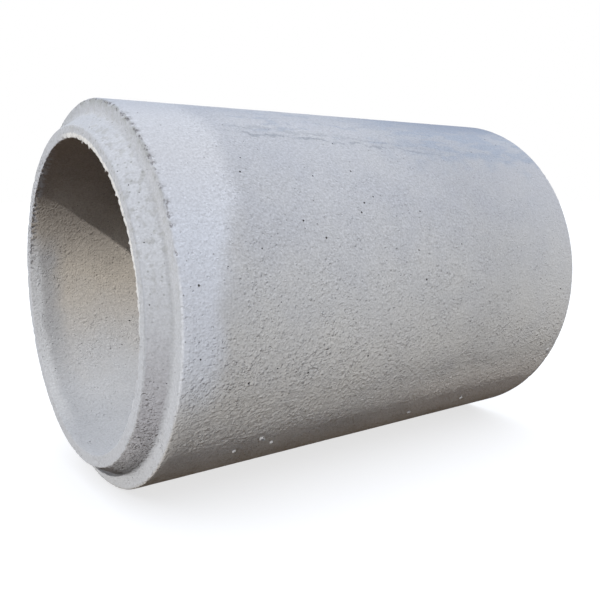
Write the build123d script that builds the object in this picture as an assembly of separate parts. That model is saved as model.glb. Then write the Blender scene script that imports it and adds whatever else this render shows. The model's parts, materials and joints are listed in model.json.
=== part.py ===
"""Concrete sewer pipe: one cast length with a tapered spigot at one end and the matching socket at the other.

Millimetres, +Z up. The pipe lies along X on the ground with its spigot towards -X.
The origin is on the ground, midway along the pipe, under its axis.
"""
import os

from build123d import *

# Barrel
overall_length = 1060.0
bore_diameter = 600.0
wall = 77.0

# Spigot: a tapered ring that stands out from a flat shoulder
spigot_length = 40.0
spigot_nose_wall = 25.0
spigot_root_wall = 49.0

# Joint between two lengths: the socket is the spigot's shape with room for mortar
joint_clearance = 4.0
joint_end_gap = 5.0

# Cast edges
bore_edge_round = 3.0
nose_edge_round = 4.0
spigot_root_fillet = 6.0
rim_round = 6.0
socket_edge_round = 4.0
socket_floor_fillet = 4.0

# Radii from the pipe's axis
bore_radius = bore_diameter / 2
outer_radius = bore_radius + wall
nose_radius = bore_radius + spigot_nose_wall
root_radius = bore_radius + spigot_root_wall
socket_floor_radius = nose_radius + joint_clearance
socket_mouth_radius = root_radius + joint_clearance

# Stations along the pipe's axis
nose_x = -overall_length / 2
shoulder_x = nose_x + spigot_length
socket_end_x = overall_length / 2
socket_floor_x = socket_end_x - spigot_length - joint_end_gap


def wall_section() -> Face:
    """Section of the wall, drawn with the axis along X and radius along Y, with its cast edges rounded."""
    corner_rounds = [
        ((nose_x, bore_radius), bore_edge_round),
        ((nose_x, nose_radius), nose_edge_round),
        ((shoulder_x, root_radius), spigot_root_fillet),
        ((shoulder_x, outer_radius), rim_round),
        ((socket_end_x, outer_radius), rim_round),
        ((socket_end_x, socket_mouth_radius), socket_edge_round),
        ((socket_floor_x, socket_floor_radius), socket_floor_fillet),
        ((socket_floor_x, bore_radius), bore_edge_round),
    ]
    outline = Polyline(*[corner for corner, _ in corner_rounds], close=True)
    section = make_face(outline)
    for corner, radius in corner_rounds:
        vertex = section.vertices().sort_by_distance(corner)[0]
        section = fillet(vertex, radius)
    return section


def pipe() -> Part:
    """The whole casting, turned about its axis and laid on the ground."""
    casting = revolve(Plane.XZ * wall_section(), axis=Axis.X)
    return Pos(0, 0, outer_radius) * casting


os.makedirs("parts", exist_ok=True)
export_step(pipe(), "parts/pipe.step")
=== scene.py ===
"""Concrete sewer pipe: the cast skin with its chips, air pits and stains, and the studio that shows it.

Metres, +Z up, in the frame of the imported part: the pipe lies along X with its spigot towards -X.
A turn is an angle about the pipe's axis, 0 on the -Y side and a quarter turn at the top.
"""

import json
import logging
import math
from dataclasses import dataclass
from enum import Enum

import bpy
import numpy as np
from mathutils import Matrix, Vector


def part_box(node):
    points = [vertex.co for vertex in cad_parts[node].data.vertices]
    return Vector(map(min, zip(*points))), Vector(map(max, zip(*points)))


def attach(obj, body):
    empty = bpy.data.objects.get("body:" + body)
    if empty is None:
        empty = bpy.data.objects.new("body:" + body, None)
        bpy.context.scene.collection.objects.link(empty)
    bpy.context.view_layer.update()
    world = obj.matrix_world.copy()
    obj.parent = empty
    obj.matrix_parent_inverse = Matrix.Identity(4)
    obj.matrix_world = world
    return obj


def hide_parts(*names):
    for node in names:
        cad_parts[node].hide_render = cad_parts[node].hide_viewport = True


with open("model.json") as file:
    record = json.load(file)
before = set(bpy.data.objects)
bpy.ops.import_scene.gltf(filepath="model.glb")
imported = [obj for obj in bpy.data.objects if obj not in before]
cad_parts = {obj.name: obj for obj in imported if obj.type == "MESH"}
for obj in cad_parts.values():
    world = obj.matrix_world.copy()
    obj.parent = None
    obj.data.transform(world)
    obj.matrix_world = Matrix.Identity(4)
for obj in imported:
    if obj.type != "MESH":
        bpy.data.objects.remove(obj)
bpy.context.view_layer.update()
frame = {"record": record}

log = logging.getLogger("sewer_pipe")

SEED = 29
TOUCHING = 1e-4

Colour = tuple[float, float, float]
Feed = bpy.types.NodeSocket | float | tuple


class Corner(Enum):
    """Corners of the wall's section, in order round it."""

    NOSE_BORE = 0
    NOSE_EDGE = 1
    SPIGOT_ROOT = 2
    SHOULDER_RIM = 3
    SOCKET_RIM = 4
    SOCKET_MOUTH = 5
    SOCKET_FLOOR = 6
    SOCKET_THROAT = 7


class Zone(Enum):
    """Faces of the wall's section, each numbered by the corner that it starts at."""

    NOSE = 0
    CONE = 1
    SHOULDER = 2
    BARREL = 3
    SOCKET_END = 4
    SOCKET_WALL = 5
    SOCKET_BACK = 6
    BORE = 7


class Element(Enum):
    """Kinds of mesh element that a selection is made of."""

    VERTEX = "vertices"
    EDGE = "edges"
    FACE = "polygons"


class Stuff(Enum):
    """Material places of the casting, in slot order."""

    CONCRETE = 0
    PIT = 1
    MORTAR = 2


@dataclass(frozen=True)
class Station:
    """One corner of the section: its place along the axis, its radius, and its cast rounding."""

    x: float
    radius: float
    rounding: float


@dataclass(frozen=True)
class PipeSizes:
    """Sizes of the casting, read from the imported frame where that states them."""

    length: float
    outer_radius: float
    bore_radius: float
    spigot_length: float
    nose_wall: float = 0.025
    root_wall: float = 0.049
    joint_clearance: float = 0.004
    joint_end_gap: float = 0.005
    bore_edge_round: float = 0.003
    nose_edge_round: float = 0.004
    root_fillet: float = 0.006
    rim_round: float = 0.006
    socket_edge_round: float = 0.004

    @classmethod
    def from_frame(cls) -> "PipeSizes":
        """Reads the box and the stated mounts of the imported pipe."""
        low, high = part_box("pipe")
        mounts = {mount["name"]: mount for mount in frame["record"]["mounts"]}
        return cls(
            length=high[0] - low[0],
            outer_radius=mounts["barrel"]["dims"]["r_mm"] / 1000,
            bore_radius=mounts["bore"]["dims"]["r_mm"] / 1000,
            spigot_length=mounts["shoulder_face"]["pos_m"][0] - mounts["nose_face"]["pos_m"][0],
        )

    @property
    def axis_height(self) -> float:
        """Height of the axis of the pipe, which lies on the ground."""
        return self.outer_radius

    @property
    def centre(self) -> tuple[float, float, float]:
        """Point of the axis midway along the pipe."""
        return (0.0, 0.0, self.axis_height)

    @property
    def nose_x(self) -> float:
        """Place of the spigot's end face."""
        return -self.length / 2

    @property
    def shoulder_x(self) -> float:
        """Place of the shoulder behind the spigot."""
        return self.nose_x + self.spigot_length

    @property
    def end_x(self) -> float:
        """Place of the socket's end face."""
        return self.length / 2

    @property
    def socket_floor_x(self) -> float:
        """Place of the floor of the socket."""
        return self.end_x - self.spigot_length - self.joint_end_gap

    @property
    def nose_radius(self) -> float:
        """Outside radius of the spigot at its end."""
        return self.bore_radius + self.nose_wall

    @property
    def root_radius(self) -> float:
        """Outside radius of the spigot where it meets the shoulder."""
        return self.bore_radius + self.root_wall

    def corners(self) -> list[Station]:
        """Corners of the wall's section, in the order that Corner numbers them."""
        mouth_radius = self.root_radius + self.joint_clearance
        floor_radius = self.nose_radius + self.joint_clearance
        return [
            Station(self.nose_x, self.bore_radius, self.bore_edge_round),
            Station(self.nose_x, self.nose_radius, self.nose_edge_round),
            Station(self.shoulder_x, self.root_radius, self.root_fillet),
            Station(self.shoulder_x, self.outer_radius, self.rim_round),
            Station(self.end_x, self.outer_radius, self.rim_round),
            Station(self.end_x, mouth_radius, self.socket_edge_round),
            Station(self.socket_floor_x, floor_radius, self.socket_edge_round),
            Station(self.socket_floor_x, self.bore_radius, self.bore_edge_round),
        ]

    def face(self, zone: Zone) -> tuple[Station, Station]:
        """The two corners that a face of the section runs between."""
        corners = self.corners()
        return corners[zone.value], corners[(zone.value + 1) % len(corners)]


@dataclass
class Workpiece:
    """A round mesh on the pipe's axis, shaped by operators on elements picked by their place."""

    piece: bpy.types.Object
    sizes: PipeSizes

    def places(self) -> np.ndarray:
        """Vertex places as an array of rows."""
        flat = np.empty(3 * len(self.piece.data.vertices))
        self.piece.data.vertices.foreach_get("co", flat)
        return flat.reshape(-1, 3)

    def section(self) -> tuple[np.ndarray, np.ndarray, np.ndarray]:
        """Places along the axis, radii from it, and turns about it in degrees, of every vertex."""
        places = self.places()
        rise = places[:, 2] - self.sizes.axis_height
        turn = np.degrees(np.arctan2(rise, -places[:, 1]))
        return places[:, 0], np.hypot(places[:, 1], rise), turn

    def edge_ends(self) -> np.ndarray:
        """Vertex numbers at the two ends of every edge."""
        flat = np.empty(2 * len(self.piece.data.edges), np.int32)
        self.piece.data.edges.foreach_get("vertices", flat)
        return flat.reshape(-1, 2)

    def near(self, corner: Corner) -> np.ndarray:
        """Distance of every vertex from a corner ring, in the section."""
        station = self.sizes.corners()[corner.value]
        x, radius, _ = self.section()
        return np.hypot(x - station.x, radius - station.radius)

    def along_face(self, zone: Zone) -> tuple[np.ndarray, np.ndarray]:
        """Where every vertex lies beside a face of the section.

        Args:
            zone: The face.

        Returns:
            The share of the way along the face, and the distance off it.
        """
        start, stop = self.sizes.face(zone)
        run = np.array([stop.x - start.x, stop.radius - start.radius])
        span = float(np.hypot(*run))
        x, radius, _ = self.section()
        offset = np.stack([x - start.x, radius - start.radius], axis=1)
        return offset @ run / span**2, np.abs(offset @ np.array([-run[1], run[0]])) / span

    def room(self) -> np.ndarray:
        """Shortest edge at every vertex, or 0 where a vertex isn't a plain crossing of four edges."""
        ends = self.edge_ends()
        places = self.places()
        lengths = np.linalg.norm(places[ends[:, 0]] - places[ends[:, 1]], axis=1)
        shortest = np.full(len(places), np.inf)
        np.minimum.at(shortest, ends[:, 0], lengths)
        np.minimum.at(shortest, ends[:, 1], lengths)
        crossings = np.bincount(ends.ravel(), minlength=len(places)) == 4
        return np.where(crossings, shortest, 0.0)

    def pick(self, element: Element, chosen: np.ndarray) -> None:
        """Selects only the chosen elements, and leaves the piece in edit mode.

        Args:
            element: Kind of element to select.
            chosen: One truth value for each element of that kind.
        """
        bpy.ops.object.mode_set(mode="OBJECT")
        mesh = self.piece.data
        for kind in Element:
            elements = getattr(mesh, kind.value)
            elements.foreach_set("select", chosen if kind is element else np.zeros(len(elements), bool))
        bpy.context.tool_settings.mesh_select_mode = tuple(kind is element for kind in Element)
        bpy.ops.object.mode_set(mode="EDIT")

    def leave(self) -> None:
        """Goes back to object mode with this piece alone selected."""
        bpy.ops.object.mode_set(mode="OBJECT")
        bpy.ops.object.select_all(action="DESELECT")
        self.piece.select_set(True)
        bpy.context.view_layer.objects.active = self.piece

    def weigh(self, name: str, weights: np.ndarray, levels: int = 10) -> str:
        """Makes a vertex group of the given weights, in even steps.

        Args:
            name: Name of the group.
            weights: A weight from 0 to 1 for every vertex.
            levels: How many steps the weights are held in.

        Returns:
            The group's name.
        """
        group = self.piece.vertex_groups.new(name=name)
        steps = np.round(np.clip(weights, 0.0, 1.0) * levels).astype(int)
        for level in range(1, levels + 1):
            group.add(np.flatnonzero(steps == level).tolist(), level / levels, "REPLACE")
        return group.name

    def press(self, name: str, depth: float, group: str = "", noise: bpy.types.Texture | None = None) -> None:
        """Sinks the skin along its normals.

        Args:
            name: What the sinking makes.
            depth: How far it sinks at most.
            group: Vertex group that limits it.
            noise: Texture that is 1 where the skin stays and 0 where it sinks.
        """
        sink = self.piece.modifiers.new(name, "DISPLACE")
        sink.direction = "NORMAL"
        sink.vertex_group = group
        if noise:
            sink.texture = noise
            sink.texture_coords = "LOCAL"
            sink.mid_level = 1.0
            sink.strength = depth
        else:
            sink.mid_level = 0.0
            sink.strength = -depth
        bpy.ops.object.modifier_apply(modifier=sink.name)

    def note(self, name: str, values: np.ndarray) -> None:
        """Keeps a number for every vertex, for a material to read."""
        attribute = self.piece.data.attributes.new(name, "FLOAT", "POINT")
        attribute.data.foreach_set("value", values.astype(np.float32))

    def triangles(self) -> int:
        """Triangles that the mesh makes."""
        return sum(len(face.vertices) - 2 for face in self.piece.data.polygons)


@dataclass(frozen=True)
class Relief:
    """One scale of unevenness: lumps of a size that sink into the skin."""

    name: str
    lump: float
    depth: float
    octaves: int
    threshold: float = 0.0
    softness: float = 0.16

    def carve(self, work: Workpiece, group: str = "") -> None:
        """Sinks this relief into the piece.

        Args:
            work: The piece to carve.
            group: Vertex group that limits the relief.
        """
        noise = bpy.data.textures.new(self.name, "CLOUDS")
        noise.noise_basis = "IMPROVED_PERLIN"
        noise.noise_scale = self.lump
        noise.noise_depth = self.octaves
        if self.threshold:
            noise.use_color_ramp = True
            sunk, proud = noise.color_ramp.elements
            sunk.position = self.threshold - self.softness
            sunk.color = (0.0, 0.0, 0.0, 1.0)
            proud.position = self.threshold
            proud.color = (1.0, 1.0, 1.0, 1.0)
        work.press(self.name, self.depth, group, noise)
        bpy.data.textures.remove(noise)


@dataclass(frozen=True)
class EdgeWear:
    """Chips along one edge of the casting, over a stretch of its turn."""

    corner: Corner
    chips: Relief
    reach: float
    from_turn: float = -180.0
    to_turn: float = 180.0
    taper: float = 12.0
    core: float = 1.25

    def carve(self, work: Workpiece) -> None:
        """Breaks the edge's chips out of the piece."""
        _, _, turn = work.section()
        inside = np.minimum(turn - self.from_turn, self.to_turn - turn)
        stretch = np.clip(inside / self.taper, 0.0, 1.0)
        if self.to_turn - self.from_turn >= 360.0:
            stretch = np.ones_like(turn)
        weights = np.clip(self.core - work.near(self.corner) / self.reach, 0.0, 1.0) * stretch
        self.chips.carve(work, work.weigh(self.chips.name, weights))


@dataclass(frozen=True)
class Spot:
    """A place on one face of the casting."""

    zone: Zone
    x: float
    turn: float

    def nearest(self, work: Workpiece, allowed: np.ndarray) -> int:
        """Number of the allowed vertex that lies nearest to this spot.

        Args:
            work: The casting.
            allowed: One truth value for each vertex.

        Returns:
            The vertex's number.
        """
        start, stop = work.sizes.face(self.zone)
        share = (self.x - start.x) / (stop.x - start.x)
        radius = start.radius + share * (stop.radius - start.radius)
        angle = math.radians(self.turn)
        rise = work.sizes.axis_height + radius * math.sin(angle)
        gap = np.linalg.norm(work.places() - (self.x, -radius * math.cos(angle), rise), axis=1)
        return int(np.argmin(np.where(allowed, gap, np.inf)))


class PitSize(Enum):
    """Sizes of air pit: half width and depth."""

    FINE = (0.0012, 0.0024)
    MIDDLE = (0.0018, 0.0034)
    COARSE = (0.0023, 0.0042)

    @property
    def half_width(self) -> float:
        """Half of the pit's width at the skin."""
        return self.value[0]

    @property
    def depth(self) -> float:
        """Depth of the pit's floor."""
        return self.value[1]


@dataclass(frozen=True)
class AirPits:
    """Round pits that air bubbles left: the ones that show on the near side, and a scatter all over."""

    plain: tuple[Spot, ...] = (
        Spot(Zone.BARREL, -0.338, 39.0),
        Spot(Zone.BARREL, -0.237, 24.0),
        Spot(Zone.BARREL, -0.197, 19.0),
        Spot(Zone.BARREL, -0.102, 26.0),
        Spot(Zone.BARREL, -0.077, 29.0),
        Spot(Zone.BARREL, 0.046, 5.0),
        Spot(Zone.BARREL, 0.480, -3.0),
        Spot(Zone.BARREL, -0.082, 40.0),
        Spot(Zone.BARREL, -0.460, 9.0),
        Spot(Zone.BARREL, -0.359, -18.0),
        Spot(Zone.BARREL, -0.238, -18.0),
        Spot(Zone.CONE, -0.502, 21.0),
        Spot(Zone.BORE, -0.311, -159.0),
    )
    faint: tuple[Spot, ...] = (
        Spot(Zone.BARREL, 0.050, 26.0),
        Spot(Zone.BARREL, -0.460, -9.0),
        Spot(Zone.BARREL, -0.185, 38.0),
        Spot(Zone.BARREL, -0.328, 17.0),
        Spot(Zone.BARREL, -0.262, -17.0),
        Spot(Zone.BARREL, -0.304, -15.0),
        Spot(Zone.BARREL, 0.029, 14.0),
        Spot(Zone.BARREL, 0.153, 15.0),
        Spot(Zone.BARREL, -0.059, 31.0),
        Spot(Zone.BARREL, -0.087, -16.0),
        Spot(Zone.BARREL, -0.036, -23.0),
        Spot(Zone.BORE, -0.347, -148.0),
    )
    apart: float = 0.016
    edge_gap: float = 0.013
    room_share: float = 2.1
    end_share: float = 0.02
    off_face: float = 0.004
    wall_slope: float = 0.25
    wall_sink: float = 0.6
    floor_slope: float = 0.35
    floor_sink: float = 0.4

    def open(self, work: Workpiece) -> None:
        """Opens every pit, the coarse ones first.

        Args:
            work: The casting.
        """
        rng = np.random.default_rng(SEED)
        scatter = {
            PitSize.COARSE: {Zone.BARREL: 3, Zone.BORE: 3},
            PitSize.MIDDLE: {Zone.BARREL: 24, Zone.BORE: 14, Zone.SHOULDER: 4},
            PitSize.FINE: {Zone.BARREL: 100, Zone.BORE: 40, Zone.CONE: 26, Zone.SHOULDER: 16, Zone.NOSE: 10},
        }
        named = {PitSize.COARSE: self.plain, PitSize.MIDDLE: self.faint, PitSize.FINE: ()}
        taken = np.empty((0, 3))
        for size, counts in scatter.items():
            allowed = work.room() > self.room_share * size.half_width
            for corner in (Corner.NOSE_BORE, Corner.SHOULDER_RIM):
                allowed &= work.near(corner) > self.edge_gap
            chosen = [spot.nearest(work, allowed) for spot in named[size]]
            for zone, count in counts.items():
                chosen += self._scatter(work, rng, zone, count, allowed)
            chosen = self._spread(work, chosen, taken)
            taken = np.vstack([taken, work.places()[chosen]])
            self._sink(work, chosen, size)

    def _scatter(
        self, work: Workpiece, rng: np.random.Generator, zone: Zone, count: int, allowed: np.ndarray
    ) -> list[int]:
        """Draws vertices of one face at random."""
        share, off = work.along_face(zone)
        inner = (share > self.end_share) & (share < 1.0 - self.end_share)
        on_face = np.flatnonzero(allowed & inner & (off < self.off_face))
        return rng.choice(on_face, min(count, len(on_face)), replace=False).tolist()

    def _spread(self, work: Workpiece, chosen: list[int], taken: np.ndarray) -> list[int]:
        """Drops vertices that lie too near a pit that is there already, or an earlier one of the list."""
        places = work.places()
        kept: list[int] = []
        for number in chosen:
            others = np.vstack([taken, places[kept]])
            gaps = np.linalg.norm(others - places[number], axis=1)
            if not len(gaps) or gaps.min() > self.apart:
                kept.append(number)
        return kept

    def _sink(self, work: Workpiece, chosen: list[int], size: PitSize) -> None:
        """Cuts a round hole at each chosen vertex and sinks its floor."""
        mask = np.zeros(len(work.piece.data.vertices), bool)
        mask[chosen] = True
        work.pick(Element.VERTEX, mask)
        open_hole(size.half_width)
        work.piece.active_material_index = Stuff.PIT.value
        bpy.ops.object.material_slot_assign()
        for slope, sink in ((self.wall_slope, self.wall_sink), (self.floor_slope, self.floor_sink)):
            bpy.ops.mesh.inset(thickness=size.half_width * slope, depth=-size.depth * sink)
        bpy.ops.object.mode_set(mode="OBJECT")


@dataclass(frozen=True)
class MortarSpecks:
    """Pale specks of mortar that stuck low on the barrel."""

    spots: tuple[Spot, ...] = (
        Spot(Zone.BARREL, -0.337, -45.5),
        Spot(Zone.BARREL, -0.286, -41.5),
        Spot(Zone.BARREL, -0.281, -42.5),
        Spot(Zone.BARREL, -0.252, -45.5),
        Spot(Zone.BARREL, 0.122, -48.5),
        Spot(Zone.BARREL, 0.287, -47.0),
        Spot(Zone.BARREL, 0.504, -27.5),
    )
    height: float = 0.0034
    unevenness: float = 0.0010
    least_room: float = 0.0025
    foot_inset: float = 0.0006
    side_inset: float = 0.0007

    def stick(self, work: Workpiece) -> None:
        """Raises every speck.

        Args:
            work: The casting.
        """
        plain = work.room() > self.least_room
        corners = {spot.nearest(work, plain) for spot in self.spots}
        faces = work.piece.data.polygons
        work.pick(Element.FACE, np.array([not corners.isdisjoint(face.vertices) for face in faces]))
        bpy.ops.mesh.inset(thickness=self.foot_inset)
        bpy.ops.transform.vertex_random(offset=self.unevenness, seed=SEED)
        work.piece.active_material_index = Stuff.MORTAR.value
        bpy.ops.object.material_slot_assign()
        bpy.ops.mesh.inset(thickness=self.side_inset, depth=self.height)
        bpy.ops.transform.vertex_random(offset=self.unevenness, seed=SEED + 1)
        bpy.ops.object.mode_set(mode="OBJECT")


def open_hole(half_width: float, round_profile: float = 0.086) -> None:
    """Turns each selected vertex into a round face, and goes over to faces.

    Args:
        half_width: Half of the face's width.
        round_profile: Profile of the bevel at which its sides bow out to a circle.
    """
    bpy.ops.mesh.bevel(
        offset_type="OFFSET", offset=half_width, segments=2, affect="VERTICES", profile=round_profile
    )
    bpy.ops.mesh.select_mode(type="FACE")


@dataclass(frozen=True)
class Casting:
    """The pipe's cast skin as one closed mesh."""

    sizes: PipeSizes
    facets: int = 360
    rounding_segments: int = 3
    face_slack: float = 0.001
    whole_run: float = 0.3
    barrel_strip: float = 0.0140
    bore_strip: float = 0.0320
    socket_strip: float = 0.0080
    end_strip: float = 0.0048
    rim_reach: float = 0.0175
    rim_cuts: int = 3
    crumbled: tuple[float, float] = (-51.0, -22.0)
    crumbled_length: tuple[float, float] = (0.02, 0.985)
    crumb_strip: float = 0.3
    crumb_taper: float = 8.0
    crumb_end_taper: float = 0.03
    skin_depth: float = 0.004
    smooth_angle: float = math.radians(38)
    worn_depth: float = 0.0028
    lip_teeth: tuple[float, ...] = (75.0, 68.0, 52.0, 41.0, 25.4, 24.2, 9.0)
    lip_tooth_length: float = 0.004
    lip_tooth_half_turn: float = 0.3
    lip_band: float = 1.2
    rim_marks: tuple[float, ...] = (77.0, 73.0, 63.0, 60.0, 57.0, 54.0, 44.0, 41.5, 30.0, 26.5, 24.0)
    rim_mark_depth: float = 0.0042
    rim_mark_reach: float = 0.0062
    rim_mark_core: float = 1.2
    rim_mark_inset: float = 0.4

    def build(self) -> bpy.types.Object:
        """Models the casting from a ring at the nose.

        Returns:
            The finished mesh object, at the origin and unturned.
        """
        work = self._turn_section()
        self._round_corners(work)
        self._divide_faces(work)
        self._refine_rims(work)
        self._refine_flank(work)
        self._roughen(work)
        self._wear_edges(work)
        self._pull_lip_teeth(work)
        for _ in Stuff:
            work.piece.data.materials.append(None)
        AirPits().open(work)
        MortarSpecks().stick(work)
        work.leave()
        bpy.ops.object.shade_smooth_by_angle(angle=self.smooth_angle)
        log.info("%s: %d triangles", work.piece.name, work.triangles())
        return work.piece

    def _turn_section(self) -> Workpiece:
        """Extrudes a ring from corner to corner round the wall's section, and closes it along the bore."""
        corners = self.sizes.corners()
        here = corners[0]
        bpy.ops.object.select_all(action="DESELECT")
        bpy.ops.mesh.primitive_circle_add(
            vertices=self.facets,
            radius=here.radius,
            fill_type="NOTHING",
            location=(here.x, 0.0, self.sizes.axis_height),
            rotation=(0.0, math.pi / 2, 0.0),
        )
        piece = bpy.context.object
        piece.name = "concrete_pipe"
        piece.data.name = "concrete_pipe"
        bpy.ops.object.transform_apply(location=True, rotation=True, scale=True)
        bpy.ops.object.mode_set(mode="EDIT")
        bpy.ops.mesh.select_mode(type="EDGE")
        bpy.ops.mesh.select_all(action="SELECT")
        for there in corners[1:]:
            bpy.ops.mesh.extrude_edges_move(TRANSFORM_OT_translate={"value": (there.x - here.x, 0.0, 0.0)})
            growth = there.radius / here.radius
            bpy.ops.transform.resize(value=(1.0, growth, growth), center_override=self.sizes.centre)
            here = there
        bpy.ops.mesh.select_all(action="DESELECT")
        bpy.ops.mesh.select_non_manifold()
        bpy.ops.mesh.bridge_edge_loops()
        bpy.ops.mesh.select_all(action="SELECT")
        bpy.ops.mesh.normals_make_consistent(inside=False)
        bpy.ops.object.mode_set(mode="OBJECT")
        return Workpiece(piece, self.sizes)

    def _round_corners(self, work: Workpiece) -> None:
        """Rounds each corner ring to its cast radius."""
        corners = self.sizes.corners()
        for number, corner in enumerate(corners):
            before = corners[number - 1]
            after = corners[(number + 1) % len(corners)]
            arrive = math.atan2(corner.radius - before.radius, corner.x - before.x)
            depart = math.atan2(after.radius - corner.radius, after.x - corner.x)
            bend = abs(math.remainder(depart - arrive, 2 * math.pi))
            at_corner = work.near(Corner(number)) < TOUCHING
            work.pick(Element.EDGE, at_corner[work.edge_ends()].all(axis=1))
            bpy.ops.mesh.bevel(
                offset_type="OFFSET",
                offset=corner.rounding * math.tan(bend / 2),
                segments=self.rounding_segments,
                profile=0.5,
                affect="EDGES",
            )
            bpy.ops.object.mode_set(mode="OBJECT")

    def _divide_faces(self, work: Workpiece) -> None:
        """Cuts each face of the section into strips of an even width."""
        strips = {Zone.BARREL: self.barrel_strip, Zone.BORE: self.bore_strip}
        strips |= dict.fromkeys((Zone.SOCKET_END, Zone.SOCKET_WALL, Zone.SOCKET_BACK), self.socket_strip)
        for zone in Zone:
            start, stop = self.sizes.face(zone)
            span = math.hypot(stop.x - start.x, stop.radius - start.radius)
            share, off = work.along_face(zone)
            on_face = (off < TOUCHING) & (share > -self.face_slack) & (share < 1.0 + self.face_slack)
            ends = work.edge_ends()
            reach = np.abs(share[ends[:, 0]] - share[ends[:, 1]])
            work.pick(Element.EDGE, on_face[ends].all(axis=1) & (reach > self.whole_run))
            cuts = round(span / strips.get(zone, self.end_strip)) - 1
            bpy.ops.mesh.subdivide(number_cuts=cuts)
            bpy.ops.object.mode_set(mode="OBJECT")

    def _refine_rims(self, work: Workpiece) -> None:
        """Halves the mesh both ways round the edges that chip, so that chips have room for their shape."""
        x, _, _ = work.section()
        near = work.near(Corner.NOSE_BORE) < self.bore_strip + self.sizes.bore_edge_round
        ends = work.edge_ends()
        long_strip = near[ends].all(axis=1) & (np.abs(x[ends[:, 0]] - x[ends[:, 1]]) > 0.5 * self.bore_strip)
        work.pick(Element.EDGE, long_strip)
        bpy.ops.mesh.subdivide(number_cuts=self.rim_cuts)
        for corner in (Corner.NOSE_BORE, Corner.SHOULDER_RIM):
            bpy.ops.object.mode_set(mode="OBJECT")
            near = work.near(corner) < self.rim_reach
            work.pick(Element.EDGE, near[work.edge_ends()].all(axis=1))
            bpy.ops.mesh.subdivide(number_cuts=1, ngon=False)
        bpy.ops.object.mode_set(mode="OBJECT")

    def _crumbly(self, work: Workpiece) -> tuple[np.ndarray, np.ndarray, np.ndarray]:
        """How every vertex lies to the crumbly flank, low on the near side of the barrel.

        Args:
            work: The casting.

        Returns:
            How far inside the flank, in degrees and in shares of the length, and how far off the barrel.
        """
        share, off = work.along_face(Zone.BARREL)
        _, _, turn = work.section()
        low, high = self.crumbled
        start, stop = self.crumbled_length
        return np.minimum(turn - low, high - turn), np.minimum(share - start, stop - share), off

    def _refine_flank(self, work: Workpiece) -> None:
        """Divides the mesh finely on the crumbly flank: both ways, then its long edges again."""
        for shortest in (0.0, self.crumb_strip * self.barrel_strip):
            ends = work.edge_ends()
            x, _, _ = work.section()
            within_turn, within_length, off = self._crumbly(work)
            inside = (off < TOUCHING) & (within_length > 0) & (within_turn > 0)
            lengths = np.abs(x[ends[:, 0]] - x[ends[:, 1]])
            work.pick(Element.EDGE, inside[ends].all(axis=1) & (lengths >= shortest))
            bpy.ops.mesh.subdivide(number_cuts=1, ngon=False)
            bpy.ops.object.mode_set(mode="OBJECT")

    def _roughen(self, work: Workpiece) -> None:
        """Sinks the unevenness of the whole skin, and the crumbs low on its near side."""
        work.leave()
        Relief("out_of_round", lump=0.30, depth=0.0010, octaves=1).carve(work)
        Relief("lumps", lump=0.040, depth=0.0007, octaves=2).carve(work)
        Relief("sand", lump=0.012, depth=0.0003, octaves=1).carve(work)
        within_turn, within_length, off = self._crumbly(work)
        weights = np.clip(within_turn / self.crumb_taper, 0.0, 1.0)
        weights *= (off < self.skin_depth) * np.clip(within_length / self.crumb_end_taper, 0.0, 1.0)
        Relief("crumbs", lump=0.0060, depth=0.0020, octaves=1).carve(work, work.weigh("crumbs", weights))

    def _wear_edges(self, work: Workpiece) -> None:
        """Chips the edges, and keeps how deep every vertex was worn for the finish to read."""
        whole = work.places()
        wear = (
            EdgeWear(Corner.SHOULDER_RIM, Relief("rim_chips", 0.011, 0.0040, 2, 0.46), 0.010, 5.0, 108.0),
            EdgeWear(Corner.SHOULDER_RIM, Relief("rim_frets", 0.008, 0.0016, 2, 0.50), 0.007),
            EdgeWear(Corner.NOSE_EDGE, Relief("nose_chips", 0.013, 0.0020, 2, 0.46), 0.009),
            EdgeWear(Corner.NOSE_BORE, Relief("rough_lip", 0.007, 0.0036, 2, 0.56), 0.014, 108.0, 179.0),
            EdgeWear(Corner.NOSE_BORE, Relief("ragged_lip", 0.011, 0.0050, 2, 0.47), 0.0070, -35.0, 112.0),
            EdgeWear(Corner.NOSE_BORE, Relief("lip_frets", 0.007, 0.0012, 2, 0.55), 0.006),
            EdgeWear(Corner.SOCKET_RIM, Relief("socket_chips", 0.016, 0.0020, 2, 0.40), 0.010),
            EdgeWear(Corner.SOCKET_MOUTH, Relief("mouth_chips", 0.012, 0.0030, 2, 0.46), 0.009),
        )
        for edge in wear:
            edge.carve(work)
        work.press("rim_marks", self.rim_mark_depth, self._weigh_rim_marks(work))
        work.piece.vertex_groups.clear()
        sunk = np.linalg.norm(work.places() - whole, axis=1)
        work.note("wear", np.clip(sunk / self.worn_depth, 0.0, 1.0))

    def _weigh_rim_marks(self, work: Workpiece) -> str:
        """Weighs the vertices round each broken mark on the shoulder's rim."""
        rim = self.sizes.corners()[Corner.SHOULDER_RIM.value]
        _, _, turn = work.section()
        near = work.near(Corner.SHOULDER_RIM)
        weights = np.zeros(len(turn))
        for mark in self.rim_marks:
            gap = np.hypot(near - self.rim_mark_inset * rim.rounding, np.radians(turn - mark) * rim.radius)
            weights = np.maximum(weights, self.rim_mark_core - gap / self.rim_mark_reach)
        return work.weigh("rim_marks", weights)

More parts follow.
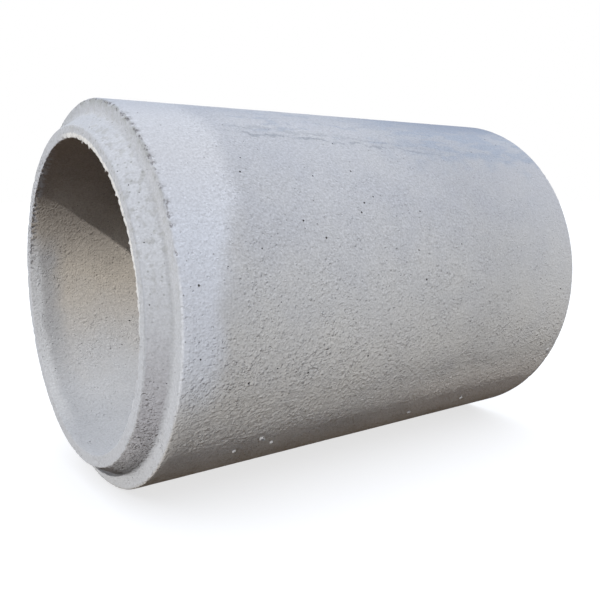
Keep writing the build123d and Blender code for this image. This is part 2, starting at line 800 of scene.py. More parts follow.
    def _pull_lip_teeth(self, work: Workpiece) -> None:
        """Pulls the few teeth of mortar at the bore's lip towards the axis."""
        lip = self.sizes.corners()[Corner.NOSE_BORE.value]
        shrink = 1.0 - self.lip_tooth_length / lip.radius
        _, _, turn = work.section()
        at_lip = work.near(Corner.NOSE_BORE) < self.lip_band * lip.rounding
        teeth = np.zeros(len(turn), bool)
        for tooth in self.lip_teeth:
            teeth |= at_lip & (np.abs(turn - tooth) < self.lip_tooth_half_turn)
        work.pick(Element.VERTEX, teeth)
        bpy.ops.transform.resize(value=(1.0, shrink, shrink), center_override=self.sizes.centre)
        bpy.ops.object.mode_set(mode="OBJECT")


class NodeBoard:
    """Places and links the nodes of one shader tree."""

    def __init__(self, tree: bpy.types.NodeTree) -> None:
        """Takes the tree to work on."""
        self.nodes = tree.nodes
        self.links = tree.links

    def add(self, kind: str, **settings: object) -> bpy.types.Node:
        """Adds a node and sets its options."""
        node = self.nodes.new(kind)
        for name, value in settings.items():
            setattr(node, name, value)
        return node

    def feed(self, socket: bpy.types.NodeSocket, value: Feed) -> None:
        """Links a socket to an output, or sets it to a number or a colour."""
        if isinstance(value, bpy.types.NodeSocket):
            self.links.new(value, socket)
        else:
            socket.default_value = value

    def reckon(self, operation: str, first: Feed, second: Feed = 0.0, third: Feed = 0.0) -> Feed:
        """Works out one step of arithmetic."""
        node = self.add("ShaderNodeMath", operation=operation)
        for socket, value in zip(node.inputs, (first, second, third)):
            self.feed(socket, value)
        return node.outputs[0]

    def scaled(self, value: Feed, factor: Feed, offset: Feed) -> Feed:
        """The value times a factor, with an offset added."""
        return self.reckon("MULTIPLY_ADD", value, factor, offset)

    def both(self, *shares: Feed) -> Feed:
        """Product of several shares."""
        product = shares[0]
        for share in shares[1:]:
            product = self.reckon("MULTIPLY", product, share)
        return product

    def fade(self, value: Feed, start: float, stop: float) -> Feed:
        """Rises softly from 0 where the value is at the start to 1 where it is at the stop."""
        node = self.add("ShaderNodeMapRange", interpolation_type="SMOOTHSTEP")
        self.feed(node.inputs["Value"], value)
        node.inputs["From Min"].default_value = start
        node.inputs["From Max"].default_value = stop
        return node.outputs["Result"]

    def noise(self, place: Feed, scale: float, detail: float = 2.0) -> Feed:
        """Cloudy noise round one half.

        Args:
            place: Where to read it.
            scale: Lumps in each metre.
            detail: How many finer layers it has.

        Returns:
            The noise's value.
        """
        node = self.add("ShaderNodeTexNoise")
        self.feed(node.inputs["Vector"], place)
        node.inputs["Scale"].default_value = scale
        node.inputs["Detail"].default_value = detail
        return node.outputs["Fac"]

    def cells(self, place: Feed, scale: float) -> tuple[Feed, Feed]:
        """Scattered cells.

        Args:
            place: Where to read them.
            scale: Cells in each metre.

        Returns:
            The distance from the middle of the cell, and a chance number of the cell, from 0 to 1.
        """
        node = self.add("ShaderNodeTexVoronoi")
        self.feed(node.inputs["Vector"], place)
        node.inputs["Scale"].default_value = scale
        split = self.add("ShaderNodeSeparateColor")
        self.feed(split.inputs[0], node.outputs["Color"])
        return node.outputs["Distance"], split.outputs[0]

    def dots(self, place: Feed, scale: float, rarity: float, size: float) -> Feed:
        """Scattered round dots.

        Args:
            place: Where to read them.
            scale: Cells in each metre, each of which may hold a dot.
            rarity: Share of the cells that stay empty.
            size: Radius of a dot as a share of a cell.

        Returns:
            1 in a dot and 0 beside it.
        """
        middle, chance = self.cells(place, scale)
        filled = self.fade(chance, rarity - 0.03, rarity + 0.03)
        return self.both(self.fade(middle, size * 1.3, size * 0.6), filled)

    def jolt(self, place: Feed, scale: float, reach: float) -> Feed:
        """Places moved about by noise.

        Args:
            place: Where the places are.
            scale: Lumps of the noise in each metre.
            reach: How far a place moves at most.

        Returns:
            The moved places.
        """
        node = self.add("ShaderNodeTexNoise")
        self.feed(node.inputs["Vector"], place)
        node.inputs["Scale"].default_value = scale
        move = self.add("ShaderNodeVectorMath", operation="MULTIPLY_ADD")
        self.feed(move.inputs[0], node.outputs["Color"])
        move.inputs[1].default_value = (2 * reach, 2 * reach, 2 * reach)
        self.feed(move.inputs[2], place)
        return move.outputs[0]

    def ramp(self, value: Feed, *stops: tuple[float, Colour]) -> Feed:
        """Turns a value into a colour by way of stops of place and colour."""
        node = self.add("ShaderNodeValToRGB")
        self.feed(node.inputs["Fac"], value)
        elements = node.color_ramp.elements
        while len(elements) < len(stops):
            elements.new(0.5)
        for element, (position, colour) in zip(elements, stops):
            element.position = position
            element.color = (*colour, 1.0)
        return node.outputs["Color"]

    def blend(self, share: Feed, under: Feed, over: Feed, mode: str = "MIX") -> Feed:
        """Lays one colour over another.

        Args:
            share: How much of the upper colour shows.
            under: The lower colour.
            over: The upper colour.
            mode: How the two are put together.

        Returns:
            The colour of the two.
        """
        node = self.add("ShaderNodeMix", data_type="RGBA", blend_type=mode)
        self.feed(node.inputs[0], share)
        self.feed(node.inputs[6], under if isinstance(under, bpy.types.NodeSocket) else (*under, 1.0))
        self.feed(node.inputs[7], over if isinstance(over, bpy.types.NodeSocket) else (*over, 1.0))
        return node.outputs[2]

    def grey(self, level: Feed) -> Feed:
        """A neutral colour of the given level."""
        node = self.add("ShaderNodeCombineColor")
        for socket in node.inputs:
            self.feed(socket, level)
        return node.outputs[0]

    def stretch(self, place: Feed, factors: tuple[float, float, float]) -> Feed:
        """Places with each direction stretched by its own factor."""
        node = self.add("ShaderNodeVectorMath", operation="MULTIPLY")
        self.feed(node.inputs[0], place)
        node.inputs[1].default_value = factors
        return node.outputs[0]


def matt_shader(board: NodeBoard) -> bpy.types.Node:
    """Sets a tree's shader to dry, matt mineral.

    Args:
        board: The tree's board.

    Returns:
        The shader node.
    """
    shader = board.nodes["Principled BSDF"]
    shader.inputs["Roughness"].default_value = 0.92
    shader.inputs["Diffuse Roughness"].default_value = 1.0
    shader.inputs["Specular IOR Level"].default_value = 0.2
    return shader


@dataclass(frozen=True)
class PlainFinish:
    """A matt finish of one tone broken up by fine grain, for the pits and the specks."""

    name: str
    colour: Colour
    grain: float = 400.0

    def material(self) -> bpy.types.Material:
        """Makes the material."""
        material = bpy.data.materials.new(self.name)
        material.use_nodes = True
        board = NodeBoard(material.node_tree)
        shader = matt_shader(board)
        place = board.add("ShaderNodeTexCoord").outputs["Object"]
        dark = tuple(0.7 * part for part in self.colour)
        light = tuple(1.2 * part for part in self.colour)
        tone = board.ramp(board.noise(place, self.grain), (0.3, dark), (0.7, light))
        board.feed(shader.inputs["Base Color"], tone)
        return material


class Skin(NodeBoard):
    """Board of the casting's finish, which also says where a point is and how far its edge is worn."""

    def __init__(self, tree: bpy.types.NodeTree, sizes: PipeSizes) -> None:
        """Works out the place along the axis, the distance from it, and the lift round it from -1 to 1."""
        super().__init__(tree)
        self.sizes = sizes
        self.place = self.add("ShaderNodeTexCoord").outputs["Object"]
        split = self.add("ShaderNodeSeparateXYZ")
        self.feed(split.inputs[0], self.place)
        self.along = split.outputs["X"]
        self.side = split.outputs["Y"]
        rise = self.reckon("SUBTRACT", split.outputs["Z"], sizes.axis_height)
        across = self.reckon("MULTIPLY", self.side, self.side)
        self.radius = self.reckon("SQRT", self.scaled(rise, rise, across))
        self.lift = self.reckon("DIVIDE", rise, self.radius)
        self.wear = self.add("ShaderNodeAttribute", attribute_name="wear").outputs["Fac"]

    def height(self, lift: Feed) -> Feed:
        """Turns a lift, from -1 to 1, into a height from 0 to 1."""
        return self.scaled(lift, 0.5, 0.5)

    def stray(self, value: Feed, scale: float, reach: float) -> Feed:
        """The value, moved up and down by slow noise on the skin."""
        swing = self.reckon("SUBTRACT", self.noise(self.place, scale, 3.0), 0.5)
        return self.scaled(swing, 2.0 * reach, value)

    def clouds(self, scale: float, detail: float, start: float, stop: float) -> Feed:
        """Patches of the skin where noise passes from the start to the stop."""
        return self.fade(self.noise(self.place, scale, detail), start, stop)

    def lift_fade(self, start: float, stop: float) -> Feed:
        """Fades with the lift."""
        return self.fade(self.lift, start, stop)

    def side_fade(self, start: float, stop: float) -> Feed:
        """Fades from one side of the pipe to the other."""
        return self.fade(self.side, start, stop)

    def along_fade(self, start: float, stop: float) -> Feed:
        """Fades along the pipe."""
        return self.fade(self.along, start, stop)

    def nose_fade(self, start: float, stop: float) -> Feed:
        """Fades along the pipe, by the distance behind the nose."""
        return self.along_fade(self.sizes.nose_x + start, self.sizes.nose_x + stop)

    def shoulder_fade(self, start: float, stop: float) -> Feed:
        """Fades along the pipe, by the distance behind the shoulder."""
        return self.along_fade(self.sizes.shoulder_x + start, self.sizes.shoulder_x + stop)

    def bore_fade(self, start: float, stop: float) -> Feed:
        """Fades away from the axis, by the distance outside the bore."""
        return self.fade(self.radius, self.sizes.bore_radius + start, self.sizes.bore_radius + stop)

    def rim_fade(self, start: float, stop: float) -> Feed:
        """Fades by the depth under the outside of the barrel."""
        return self.fade(self.radius, self.sizes.outer_radius - start, self.sizes.outer_radius - stop)


@dataclass(frozen=True)
class ConcreteFinish:
    """Dry-cast concrete: pale at the spigot, marked by water on top, dusty in the bore, brown below, with
    light and shade painted in: a bluer top, a dark crown, a darker cone underside and bore roof, ground
    bounce below, a highlight on the rim and shade in pits and chips.
    """

    sizes: PipeSizes
    grey: Colour = (0.455, 0.452, 0.447)
    end_face: Colour = (0.465, 0.472, 0.482)
    rubbed: Colour = (0.60, 0.60, 0.60)
    pale_edge: float = -0.423
    pale_growth: float = 0.075
    wash: Colour = (0.295, 0.335, 0.405)
    water_line: Colour = (0.25, 0.27, 0.30)
    # Painted shade and bluish sky reflection along the crown, partly dust.
    crown_dust_and_sky_shade: Colour = (0.195, 0.23, 0.30)
    bore_bottom: Colour = (0.415, 0.422, 0.44)
    bore_floor: Colour = (0.505, 0.507, 0.516)
    bore_side: Colour = (0.525, 0.465, 0.385)
    # Painted shade in the roof of the bore, over brown dust.
    bore_roof_dust_and_shade: Colour = (0.22, 0.185, 0.155)
    lip: Colour = (0.82, 0.80, 0.75)
    grime: Colour = (0.28, 0.29, 0.265)
    # Dark aggregate, also laid on as painted shade in pits and chips.
    broken: Colour = (0.16, 0.15, 0.155)
    # Partly earth stain, partly painted ground bounce in the shade.
    underside: Colour = (0.29, 0.255, 0.21)
    # Painted light at the edge of the shade on the lower flank, partly dust.
    dust_and_painted_shading: Colour = (0.64, 0.585, 0.52)

    def material(self) -> bpy.types.Material:
        """Makes the material."""
        material = bpy.data.materials.new("concrete")
        material.use_nodes = True
        skin = Skin(material.node_tree, self.sizes)
        shader = matt_shader(skin)
        tone = self._barrel(skin)
        for layer in (
            self._pale_spigot,
            self._water_marks,
            self._cone_stain_and_shade,
            self._end_faces,
            self._bore,
            self._bore_mouth,
            self._lip,
            self._shoulder_grime,
            self._spigot_specks,
            self._rim_dirt_and_pit_shade,
            self._lip_dirt,
            self._rim_highlight,
            self._underside,
            self._broken_edges_and_chip_shade,
            self._sand,
            self._pinhole_shade,
        ):
            tone = layer(skin, tone)
        skin.feed(shader.inputs["Base Color"], tone)
        skin.feed(shader.inputs["Normal"], self._relief(skin))
        return material

    def _outside(self, skin: Skin) -> Feed:
        """1 on the barrel, 0 on the bore and the spigot."""
        return skin.fade(skin.radius, self.sizes.root_radius + 0.004, self.sizes.outer_radius - 0.010)

    def _flat_ends(self, skin: Skin) -> Feed:
        """1 on the flat faces of the nose and the shoulder."""
        nose = skin.nose_fade(0.005, 0.002)
        behind = skin.shoulder_fade(-0.008, -0.004)
        high = skin.fade(skin.radius, self.sizes.root_radius - 0.006, self.sizes.root_radius - 0.002)
        ahead = skin.shoulder_fade(0.004, 0.0005)
        return skin.reckon("MAXIMUM", nose, skin.both(behind, high, ahead))

    def _smooth(self, skin: Skin) -> Feed:
        """Smoothness: most on the upper spigot, the flat ends, the far end and the floor of the bore."""
        outside = skin.bore_fade(0.004, 0.008)
        upper = skin.reckon("MAXIMUM", skin.lift_fade(-0.75, 0.10), self._flat_ends(skin))
        near_end = skin.both(skin.along_fade(-0.35, -0.45), upper, outside)
        far_end = skin.both(skin.along_fade(0.05, 0.48), outside, 0.8)
        floor = skin.both(skin.lift_fade(-0.35, -0.75), skin.reckon("SUBTRACT", 1.0, outside))
        return skin.reckon("MAXIMUM", skin.reckon("MAXIMUM", near_end, far_end), floor)

    def _barrel(self, skin: Skin) -> Feed:
        """Broad drying marks: tone that drifts along the barrel, broken by clouds, and a tint by height that
        is painted light: warmer low down for ground bounce, partly dust, and bluer on top for sky light.
        """
        drift = skin.stray(skin.along, 4.0, 0.10)
        share = skin.scaled(drift, 1.0 / self.sizes.length, 0.5)
        shades = ((0.10, 1.06), (0.36, 1.06), (0.55, 0.975), (0.72, 0.87), (0.86, 0.90), (1.0, 0.95))
        stops = [(at, tuple(shade * part for part in self.grey)) for at, shade in shades]
        tone = skin.ramp(share, *stops)
        clouds = skin.ramp(
            skin.noise(skin.place, 13.0, 3.0), (0.3, (0.96, 0.965, 0.975)), (0.7, (1.035, 1.03, 1.01))
        )
        tone = skin.blend(1.0, tone, clouds, "MULTIPLY")
        # Painted light: warmer low down for bounce from the ground, partly dust, and bluer on top for the
        # sky.
        painted_sky_and_bounce_tint = skin.ramp(
            skin.height(skin.lift),
            (0.10, (1.04, 1.0, 0.94)),
            (0.30, (1.03, 1.0, 0.95)),
            (0.50, (1.0, 1.0, 1.0)),
            (0.75, (0.985, 1.01, 1.085)),
            (0.93, (0.97, 1.0, 1.085)),
        )
        return skin.blend(1.0, tone, painted_sky_and_bounce_tint, "MULTIPLY")

    def _pale_spigot(self, skin: Skin, tone: Feed) -> Feed:
        """Pale laitance on the spigot and on a ring of the barrel, which widens towards the top."""
        growth = skin.reckon("MULTIPLY", skin.lift_fade(0.0, 0.75), -self.pale_growth)
        edge = skin.reckon("ADD", skin.stray(skin.along, 14.0, 0.03), growth)
        near_end = skin.fade(edge, self.pale_edge + 0.024, self.pale_edge - 0.024)
        outside = skin.bore_fade(0.004, 0.008)
        upper = skin.lift_fade(-0.54, -0.14)
        paint = skin.ramp(
            skin.height(skin.lift),
            (0.35, (0.61, 0.635, 0.68)),
            (0.50, (0.60, 0.62, 0.67)),
            (0.68, (0.65, 0.675, 0.73)),
            (0.85, (0.605, 0.61, 0.635)),
            (0.95, (0.565, 0.575, 0.605)),
        )
        return skin.blend(skin.both(near_end, outside, upper, 0.9), tone, paint)

    def _water_marks(self, skin: Skin, tone: Feed) -> Feed:
        """Bluish washes along the top of the barrel, with wavy lengthwise lines at their edges, under a dark
        bluish crown that is painted shade and sky reflection, partly dust.
        """
        drawn = skin.stretch(skin.place, (0.4, 1.0, 1.0))
        outside = self._outside(skin)
        ragged = skin.stray(skin.lift, 22.0, 0.16)
        far = skin.both(skin.along_fade(-0.02, 0.22), skin.fade(ragged, 0.64, 0.80), outside)
        patches = skin.fade(skin.noise(drawn, 42.0, 6.0), 0.38, 0.58)
        strength = skin.scaled(patches, 0.65, 0.30)
        washed = skin.blend(skin.both(far, strength), tone, self.wash)
        # Painted shade and sky reflection: the crown turns darker and bluer, most on the far half, partly
        # dust.
        crown = skin.both(skin.lift_fade(0.86, 0.985), outside)
        depth = skin.scaled(skin.along_fade(0.0, 0.45), 0.64, 0.36)
        dusty_and_painted_shading = skin.blend(skin.both(crown, depth), washed, self.crown_dust_and_sky_shade)
        level = skin.scaled(skin.along, 0.14, skin.lift)
        wavy = skin.stray(skin.stray(level, 15.0, 0.03), 60.0, 0.014)
        near, beyond = skin.along_fade(-0.36, -0.25), skin.along_fade(0.30, 0.12)
        stretch = skin.both(near, beyond, outside)
        broken = skin.clouds(34.0, 3.0, 0.32, 0.50)
        for height, width, share in ((0.790, 0.009, 0.7), (0.818, 0.010, 0.4)):
            gap = skin.reckon("ABSOLUTE", skin.reckon("SUBTRACT", wavy, height))
            line = skin.both(skin.fade(gap, width, 0.2 * width), stretch, broken, share)
            dusty_and_painted_shading = skin.blend(line, dusty_and_painted_shading, self.water_line)
        smudges = skin.fade(skin.noise(drawn, 48.0, 5.0), 0.54, 0.66)
        above = skin.both(skin.fade(level, 0.79, 0.82), stretch, smudges, 0.6)
        return skin.blend(above, dusty_and_painted_shading, self.wash)

    def _cone_stain_and_shade(self, skin: Skin, tone: Feed) -> Feed:
        """Damp, purplish stain on the spigot's cone, with painted shade that darkens it towards its
        underside.
        """
        behind = skin.nose_fade(0.002, 0.005)
        ahead = skin.shoulder_fade(0.001, -0.004)
        off_bore = skin.fade(skin.radius, self.sizes.nose_radius - 0.006, self.sizes.nose_radius - 0.003)
        height = skin.height(skin.stray(skin.lift, 40.0, 0.10))
        # Painted shade: the ramp darkens the cone towards its underside, over a purplish stain.
        stain_and_shade = skin.ramp(
            height,
            (0.06, (0.20, 0.195, 0.195)),
            (0.14, (0.27, 0.262, 0.265)),
            (0.25, (0.365, 0.355, 0.37)),
            (0.38, (0.43, 0.425, 0.44)),
            (0.50, (0.52, 0.525, 0.54)),
            (0.66, (0.605, 0.615, 0.635)),
            (0.90, (0.59, 0.60, 0.625)),
            (1.0, (0.475, 0.49, 0.52)),
        )
        stained = skin.blend(skin.both(behind, ahead, off_bore), tone, stain_and_shade)
        # Painted shade on the cone's underside: lighter near the nose, darker towards the root.
        paler = skin.fade(skin.along, self.sizes.shoulder_x - 0.004, self.sizes.nose_x + 0.004)
        shade = skin.scaled(paler, 0.85, 0.78)
        low = skin.both(skin.lift_fade(-0.5, -0.85), behind, ahead, off_bore)
        return skin.blend(low, stained, skin.blend(1.0, stained, skin.grey(shade), "MULTIPLY"))

    def _end_faces(self, skin: Skin, tone: Feed) -> Feed:
        """Plain grey of the nose and the shoulder, which the ends of the mould left smooth."""
        plain = skin.ramp(
            skin.height(skin.lift),
            (0.05, (0.42, 0.42, 0.425)),
            (0.25, (0.458, 0.462, 0.475)),
            (0.50, self.end_face),
            (0.75, (0.51, 0.515, 0.53)),
            (0.95, (0.50, 0.51, 0.53)),
        )
        return skin.blend(self._flat_ends(skin), tone, plain)

    def _bore(self, skin: Skin, tone: Feed) -> Feed:
        """Inside tone: grey on the floor of the bore, tan on its sides, dark brown on its roof, where the
        dark is painted shade over dust.
        """
        inside = skin.bore_fade(0.004, 0.001)
        height = skin.height(skin.stray(skin.lift, 7.0, 0.25))
        dust_and_painted_shading = skin.ramp(
            height,
            (0.02, self.bore_bottom),
            (0.14, self.bore_floor),
            (0.52, self.bore_side),
            (0.85, self.bore_roof_dust_and_shade),
        )
        return skin.blend(inside, tone, dust_and_painted_shading)

    def _bore_mouth(self, skin: Skin, tone: Feed) -> Feed:
        """Pale, rubbed mouth on the far side of the bore, with a damp stain behind it."""
        inside = skin.bore_fade(0.004, 0.001)
        side = skin.both(inside, skin.side_fade(-0.12, 0.10), skin.lift_fade(0.42, 0.15))
        edge = skin.stray(skin.along, 26.0, 0.012)
        damp = skin.fade(edge, self.sizes.nose_x + 0.090, self.sizes.nose_x + 0.035)
        strength = skin.scaled(skin.lift_fade(-0.80, -0.25), 0.40, 0.35)
        stained = skin.blend(skin.both(side, damp, strength), tone, (0.34, 0.345, 0.36))
        left = skin.both(side, skin.side_fade(0.06, 0.22))
        rubbed = skin.fade(edge, self.sizes.nose_x + 0.034, self.sizes.nose_x + 0.014)
        return skin.blend(skin.both(left, rubbed, 0.9), stained, self.rubbed)

    def _lip(self, skin: Skin, tone: Feed) -> Feed:
        """Ragged pale line where the mortar was struck off at the bore's lip."""
        ahead = skin.nose_fade(0.006, 0.003)
        ragged = skin.stray(skin.radius, 110.0, 0.005)
        inner = skin.fade(ragged, self.sizes.bore_radius + 0.0120, self.sizes.bore_radius + 0.0085)
        upper = skin.both(skin.lift_fade(-0.25, 0.35), skin.side_fade(0.06, -0.02))
        return skin.blend(skin.both(ahead, inner, upper, 0.9), tone, self.lip)

    def _shoulder_grime(self, skin: Skin, tone: Feed) -> Feed:
        """Greenish dirt on the upper part of the shoulder, thickest at its rim."""
        facing = skin.shoulder_fade(0.007, 0.002)
        rim = skin.fade(skin.radius, self.sizes.root_radius + 0.004, self.sizes.outer_radius)
        high = skin.lift_fade(0.15, 0.9)
        patchy = skin.clouds(60.0, 4.0, 0.38, 0.64)
        return skin.blend(skin.both(facing, rim, high, patchy, 0.75), tone, self.grime)

    def _spigot_specks(self, skin: Skin, tone: Feed) -> Feed:
        """Small specks and blotches of dirt on the spigot and the shoulder."""
        ahead = skin.shoulder_fade(0.004, 0.0)
        off_bore = skin.bore_fade(0.008, 0.014)
        high = skin.lift_fade(-0.15, 0.25)
        zone = skin.both(ahead, off_bore, high)
        blotches = skin.clouds(75.0, 4.0, 0.52, 0.66)
        blotched = skin.blend(skin.both(zone, blotches, 0.55), tone, (0.40, 0.40, 0.385))
        specks = skin.dots(skin.place, 110.0, 0.70, 0.22)
        return skin.blend(skin.both(zone, specks, 0.7), blotched, self.grime)

    def _rim_dirt_and_pit_shade(self, skin: Skin, tone: Feed) -> Feed:
        """Dark dots along the upper part of the shoulder's rim: painted shade of small pits, partly dirt."""
        outer = skin.rim_fade(0.011, 0.005)
        ahead = skin.shoulder_fade(0.010, 0.004)
        high = skin.fade(skin.stray(skin.lift, 20.0, 0.3), 0.25, 0.70)
        dots = skin.dots(skin.place, 175.0, 0.45, 0.42)
        return skin.blend(skin.both(outer, ahead, high, dots, 0.85), tone, self.broken)

    def _lip_dirt(self, skin: Skin, tone: Feed) -> Feed:
        """Dark gravel that shows along the far side of the nose."""
        ahead = skin.nose_fade(0.012, 0.006)
        high = skin.both(skin.lift_fade(-0.10, 0.20), skin.lift_fade(0.95, 0.75))
        far = skin.side_fade(0.05, 0.18)
        dots = skin.dots(skin.place, 190.0, 0.50, 0.42)
        return skin.blend(skin.both(ahead, high, far, dots, 0.85), tone, self.broken)

    def _rim_highlight(self, skin: Skin, tone: Feed) -> Feed:
        """Painted highlight: a thin pale line along the near side of the shoulder's rim, where its rounding
        catches the light.
        """
        outer = skin.rim_fade(0.0055, 0.0030)
        front = skin.shoulder_fade(0.006, 0.003)
        level = skin.stray(skin.lift, 16.0, 0.15)
        stretch = skin.both(skin.fade(level, 0.30, 0.10), skin.fade(level, -0.55, -0.25))
        return skin.blend(skin.both(outer, front, stretch, 0.7), tone, (0.70, 0.71, 0.73))

    def _underside(self, skin: Skin, tone: Feed) -> Feed:
        """Earth-brown tone low on the outside, partly earth stain and partly painted ground bounce in the
        shade, under a paler band on its far half that is painted light at the edge of the shade, partly dust.
        """
        low = skin.fade(skin.stray(skin.lift, 12.0, 0.12), -0.55, -0.95)
        barrel = skin.shoulder_fade(0.001, 0.005)
        outside = self._outside(skin)
        earth_and_bounce = skin.blend(skin.both(low, barrel, outside, 0.75), tone, self.underside)
        # Painted light: a paler band at the edge of the shade on the far half, partly dust.
        band = skin.both(skin.lift_fade(-0.42, -0.62), skin.lift_fade(-0.86, -0.72))
        dusty_and_painted_shading = skin.both(band, skin.along_fade(-0.10, 0.20), outside, 0.5)
        return skin.blend(dusty_and_painted_shading, earth_and_bounce, self.dust_and_painted_shading)

    def _broken_edges_and_chip_shade(self, skin: Skin, tone: Feed) -> Feed:
        """Dark aggregate where an edge is broken, with painted shade in the chips."""
        specks = skin.clouds(210.0, 2.0, 0.36, 0.60)
        worn = skin.fade(skin.wear, 0.35, 0.95)
        return skin.blend(skin.both(worn, specks, 0.85), tone, self.broken)

    def _sand(self, skin: Skin, tone: Feed) -> Feed:
        """Light and dark grains of sand."""
        grain = skin.ramp(
            skin.noise(skin.place, 250.0, 3.0), (0.28, (0.80, 0.795, 0.79)), (0.72, (1.18, 1.18, 1.18))
        )
        share = skin.scaled(self._smooth(skin), -0.3, 1.0)
        return skin.blend(share, tone, grain, "MULTIPLY")

    def _pinhole_shade(self, skin: Skin, tone: Feed) -> Feed:
        """Painted shade of pinholes: dark dots in a few of the cells of a fine mesh of cells."""
        holes = skin.dots(skin.place, 85.0, 0.84, 0.12)
        return skin.blend(skin.both(holes, 0.85), tone, (0.13, 0.125, 0.12))

    def _relief(self, skin: Skin) -> Feed:
        """Sandy unevenness: grains over small lumps, rough on the flank and fainter on smooth skin."""
        loose = skin.jolt(skin.place, 220.0, 0.0016)
        middle, chance = skin.cells(loose, 240.0)
        fine = skin.both(skin.fade(middle, 0.75, 0.0), skin.scaled(chance, 0.7, 0.3), 0.7)
        middle, chance = skin.cells(loose, 120.0)
        coarse = skin.both(skin.fade(middle, 0.70, 0.05), skin.reckon("POWER", chance, 2.5))
        grains = skin.reckon("ADD", fine, coarse)
        grit = skin.scaled(skin.noise(skin.place, 100.0, 4.0), 1.0, grains)
        height = skin.scaled(skin.dots(loose, 140.0, 0.80, 0.30), -0.9, grit)
        upper = skin.scaled(skin.lift_fade(0.95, 0.1), 0.35, 0.65)
        flank = skin.scaled(skin.lift_fade(-0.05, -0.5), 0.35, upper)
        rough = skin.clouds(16.0, 2.0, 0.35, 0.65)
        patchy = skin.scaled(rough, 0.4, 0.75)
        bump = skin.add("ShaderNodeBump")
        bump.inputs["Distance"].default_value = 0.0018
        skin.feed(bump.inputs["Height"], height)
        firm = skin.scaled(self._smooth(skin), -0.35, 1.0)
        skin.feed(bump.inputs["Strength"], skin.both(flank, patchy, firm))
        return bump.outputs["Normal"]


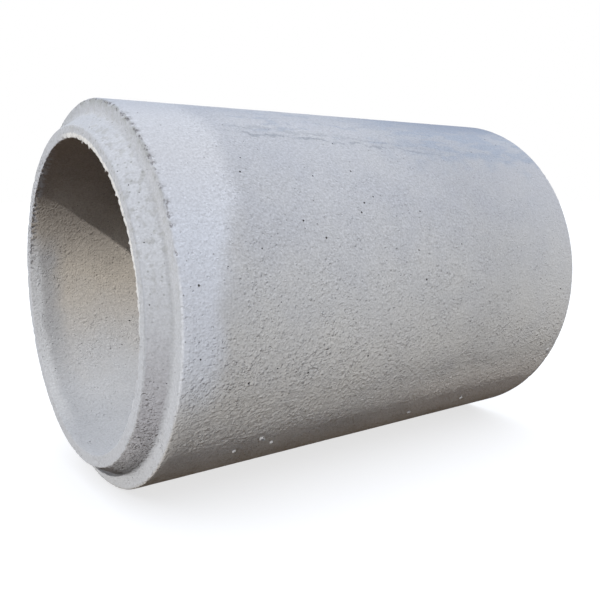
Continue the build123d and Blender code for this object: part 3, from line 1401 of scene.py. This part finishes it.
@dataclass(frozen=True)
class Studio:
    """Pale floor, soft sky, a key light with its glow, a fill from behind, and the camera."""

    camera_place: tuple[float, float, float] = (-0.96776, -1.34603, 0.57738)
    camera_yaw: float = 0.6259
    camera_pitch: float = 0.1497
    lens_mm: float = 42.53
    sensor_mm: float = 36.0
    key_travel: tuple[float, float, float] = (0.601, 0.532, -0.596)
    key_strength: float = 2.25
    key_softness: float = math.radians(1.0)
    glow_strength: float = 0.50
    glow_softness: float = math.radians(60.0)
    fill_travel: tuple[float, float, float] = (-0.60, -0.72, -0.35)
    fill_strength: float = 1.3
    fill_softness: float = math.radians(60.0)
    wash_strength: float = 3.0
    wash_softness: float = math.radians(120.0)
    floor_grey: float = 0.5
    floor_glow: float = 0.66
    sky_top: Colour = (0.18, 0.29, 0.51)
    sky_level: Colour = (0.21, 0.23, 0.265)
    ground: Colour = (0.10, 0.070, 0.045)
    floor_half_width: float = 40.0
    display_gamma: float = 1.3

    def build(self, pipe: bpy.types.Object) -> None:
        """Sets up the floor, the lights, the sky and the camera.

        Args:
            pipe: The piece that the key light shines on.
        """
        floor = self._floor()
        self._lamp("key", self.key_travel, self.key_strength, self.key_softness, pipe)
        self._lamp("key_glow", self.key_travel, self.glow_strength, self.glow_softness, pipe)
        self._lamp("floor_wash", (0.0, 0.0, -1.0), self.wash_strength, self.wash_softness, floor)
        self._lamp("back_fill", self.fill_travel, self.fill_strength, self.fill_softness, pipe)
        self._sky()
        self._camera()
        settings = bpy.context.scene.view_settings
        settings.view_transform = "Standard"
        settings.gamma = self.display_gamma

    def _floor(self) -> bpy.types.Object:
        """A wide pale floor that takes light shadows and throws no light back."""
        bpy.ops.mesh.primitive_plane_add(size=2 * self.floor_half_width, location=(0.0, 0.0, 0.0))
        floor = bpy.context.object
        floor.name = "floor"
        paint = bpy.data.materials.new("floor_paint")
        paint.use_nodes = True
        shader = paint.node_tree.nodes["Principled BSDF"]
        shader.inputs["Base Color"].default_value = (*3 * (self.floor_grey,), 1.0)
        shader.inputs["Roughness"].default_value = 0.9
        shader.inputs["Specular IOR Level"].default_value = 0.0
        shader.inputs["Emission Color"].default_value = (1.0, 1.0, 1.0, 1.0)
        shader.inputs["Emission Strength"].default_value = self.floor_glow
        floor.data.materials.append(paint)
        floor.visible_diffuse = False
        floor.visible_glossy = False
        return floor

    def _lamp(
        self,
        name: str,
        travel: tuple[float, float, float],
        strength: float,
        softness: float,
        lit: bpy.types.Object,
    ) -> None:
        """A distant lamp that shines on one object only.

        Args:
            name: Name of the lamp.
            travel: Direction that its light travels in.
            strength: Its strength.
            softness: Angle that it fills, as seen from the object.
            lit: The object that it lights.
        """
        x, y, z = travel
        tilt = math.atan2(math.hypot(x, y), -z)
        bpy.ops.object.light_add(type="SUN", rotation=(tilt, 0.0, math.atan2(-x, y)))
        lamp = bpy.context.object
        lamp.name = name
        lamp.data.energy = strength
        lamp.data.angle = softness
        receivers = bpy.data.collections.new(name + "_receivers")
        receivers.objects.link(lit)
        lamp.light_linking.receiver_collection = receivers

    def _sky(self) -> None:
        """A soft sky: blue overhead, paler at the horizon, brown from the ground, white to the camera."""
        world = bpy.data.worlds.new("sky")
        world.use_nodes = True
        bpy.context.scene.world = world
        board = NodeBoard(world.node_tree)
        split = board.add("ShaderNodeSeparateXYZ")
        board.feed(split.inputs[0], board.add("ShaderNodeTexCoord").outputs["Generated"])
        height = board.scaled(split.outputs["Z"], 0.5, 0.5)
        glow = board.ramp(height, (0.44, self.ground), (0.54, self.sky_level), (1.0, self.sky_top))
        fill = board.nodes["Background"]
        board.feed(fill.inputs["Color"], glow)
        plain = board.add("ShaderNodeBackground")
        plain.inputs["Color"].default_value = (1.0, 1.0, 1.0, 1.0)
        mix = board.add("ShaderNodeMixShader")
        board.feed(mix.inputs[0], board.add("ShaderNodeLightPath").outputs["Is Camera Ray"])
        board.feed(mix.inputs[1], fill.outputs[0])
        board.feed(mix.inputs[2], plain.outputs[0])
        board.feed(board.nodes["World Output"].inputs["Surface"], mix.outputs[0])

    def _camera(self) -> None:
        """The camera, at the photograph's viewing angle."""
        bpy.ops.object.camera_add(
            location=self.camera_place,
            rotation=(math.pi / 2 - self.camera_pitch, 0.0, -self.camera_yaw),
        )
        camera = bpy.context.object
        camera.data.lens = self.lens_mm
        camera.data.sensor_width = self.sensor_mm
        camera.data.sensor_fit = "HORIZONTAL"
        bpy.context.scene.camera = camera


def main() -> None:
    """Builds the casting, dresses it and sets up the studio."""
    logging.basicConfig(level=logging.INFO, format="%(name)s: %(message)s")
    sizes = PipeSizes.from_frame()
    pipe = Casting(sizes).build()
    pipe.data.materials[Stuff.CONCRETE.value] = ConcreteFinish(sizes).material()
    # The pits' near-black tone is painted shade in their hollows, partly dirt.
    pipe.data.materials[Stuff.PIT.value] = PlainFinish("pit", (0.075, 0.071, 0.067)).material()
    pipe.data.materials[Stuff.MORTAR.value] = PlainFinish("mortar", (0.40, 0.395, 0.385)).material()
    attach(pipe, "root")
    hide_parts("pipe")
    Studio().build(pipe)


if __name__ == "__main__":
    main()
